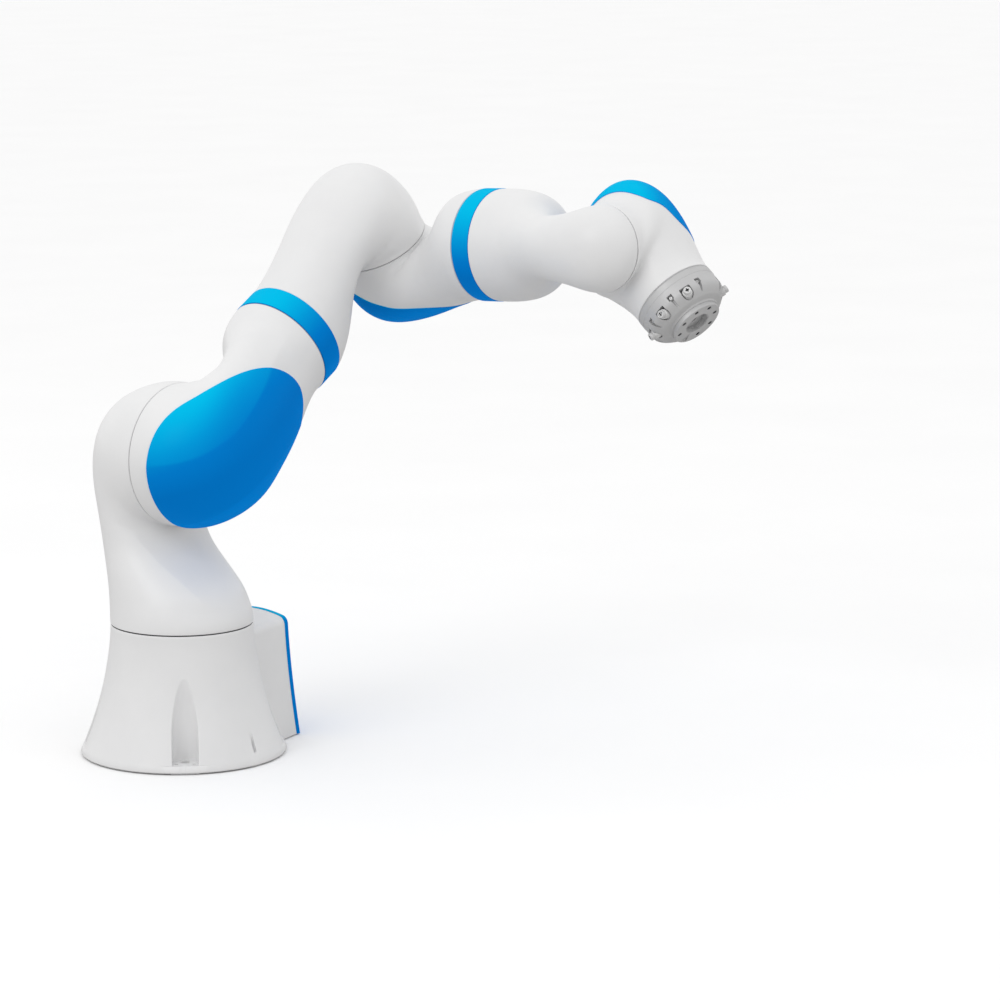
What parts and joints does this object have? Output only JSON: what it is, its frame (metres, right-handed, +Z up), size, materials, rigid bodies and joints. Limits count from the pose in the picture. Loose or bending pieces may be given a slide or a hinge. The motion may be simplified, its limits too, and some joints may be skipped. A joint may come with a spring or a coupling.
{
  "type": "collaborative robot arm",
  "caption": "Seven-axis collaborative robot arm with smooth white housings, blue covers and rings, a flared bolted base and a grey tool flange.",
  "frame": {"origin": "centre of the base's underside, on the first joint's axis", "axes": "+Z up along the first joint axis; +X towards the connector box at the back of the base; -Y towards the side of the shoulder that carries the blue cover"},
  "size_m": [0.5699, 0.6364, 0.6798],
  "materials": {
    "white_shell": "satin",
    "blue_cover": "semi-gloss",
    "grey_flange": "fine blasted, anodised grey",
    "dark_seal": "matte",
    "bare_steel": "machined",
    "motor_can": "anodised",
    "circuit_board": "solder mask"
  },
  "bodies": {
    "base": {"base_housing": "white_shell", "base_feet": "dark_seal", "connector_box": "white_shell", "connector_panel": "blue_cover", "panel_sockets": "bare_steel", "base_board": "circuit_board", "joint_1_motor": "motor_can", "joint_1_gear": "bare_steel", "joint_1_bearing": "blue_cover", "joint_1_seal": "dark_seal"},
    "link_1": {"joint_1_hub": "bare_steel", "link_1_housing": "white_shell", "joint_2_motor": "motor_can", "joint_2_gear": "bare_steel", "joint_2_bearing": "blue_cover", "joint_2_seal": "dark_seal"},
    "link_2": {"joint_2_hub": "bare_steel", "link_2_housing": "white_shell", "link_2_cap": "blue_cover", "link_2_board": "circuit_board", "joint_3_motor": "motor_can", "joint_3_gear": "bare_steel", "joint_3_bearing": "blue_cover", "joint_3_seal": "dark_seal"},
    "link_3": {"joint_3_hub": "bare_steel", "link_3_ring": "blue_cover", "link_3_housing": "white_shell", "joint_4_motor": "motor_can", "joint_4_gear": "bare_steel", "joint_4_bearing": "blue_cover", "joint_4_seal": "dark_seal"},
    "link_4": {"joint_4_hub": "bare_steel", "link_4_housing": "white_shell", "link_4_cap": "blue_cover", "link_4_board": "circuit_board", "joint_5_motor": "motor_can", "joint_5_gear": "bare_steel", "joint_5_bearing": "blue_cover", "joint_5_seal": "dark_seal"},
    "link_5": {"joint_5_hub": "bare_steel", "link_5_ring": "blue_cover", "link_5_housing": "white_shell", "joint_6_motor": "motor_can", "joint_6_gear": "bare_steel", "joint_6_bearing": "blue_cover", "joint_6_seal": "dark_seal"},
    "link_6": {"joint_6_hub": "bare_steel", "link_6_housing": "white_shell", "link_6_cap": "blue_cover", "link_6_board": "circuit_board", "joint_7_motor": "motor_can", "joint_7_gear": "bare_steel", "joint_7_bearing": "blue_cover", "joint_7_seal": "dark_seal"},
    "tool_flange": {"joint_7_hub": "bare_steel", "flange_body": "grey_flange", "flange_disc": "grey_flange", "flange_fittings": "bare_steel", "flange_screws": "bare_steel"}
  },
  "joints": [
    {"name": "base_turn", "type": "hinge", "parent": "base", "child": "link_1", "pos_m": [0, 0, 0.1575], "axis": [0, 0, 1], "range_deg": [-170, 170]},
    {"name": "shoulder_lean", "type": "hinge", "parent": "link_1", "child": "link_2", "pos_m": [0, 0, 0.36], "axis": [0, -1, 0], "range_deg": [-61.6, 178.4]},
    {"name": "upper_arm_roll", "type": "hinge", "parent": "link_2", "child": "link_3", "pos_m": [0.17443, 0, 0.46731], "axis": [0.8517, 0, 0.524], "range_deg": [-257.6, 82.4]},
    {"name": "elbow_bend", "type": "hinge", "parent": "link_3", "child": "link_4", "pos_m": [0.35773, 0, 0.58007], "axis": [0.5235, -0.0419, -0.851], "range_deg": [-208, 32]},
    {"name": "forearm_roll", "type": "hinge", "parent": "link_4", "child": "link_5", "pos_m": [0.35908, -0.17374, 0.58946], "axis": [0.0078, -0.9985, 0.0539], "range_deg": [-224.5, 115.5]},
    {"name": "wrist_bend", "type": "hinge", "parent": "link_5", "child": "link_6", "pos_m": [0.36084, -0.39941, 0.60165], "axis": [0.9976, 0.0041, -0.0689], "range_deg": [-163.3, 76.7]},
    {"name": "flange_turn", "type": "hinge", "parent": "link_6", "child": "tool_flange", "pos_m": [0.3575, -0.46129, 0.54949], "axis": [-0.0413, -0.764, -0.6439], "range_deg": [-175, 175]}
  ]
}
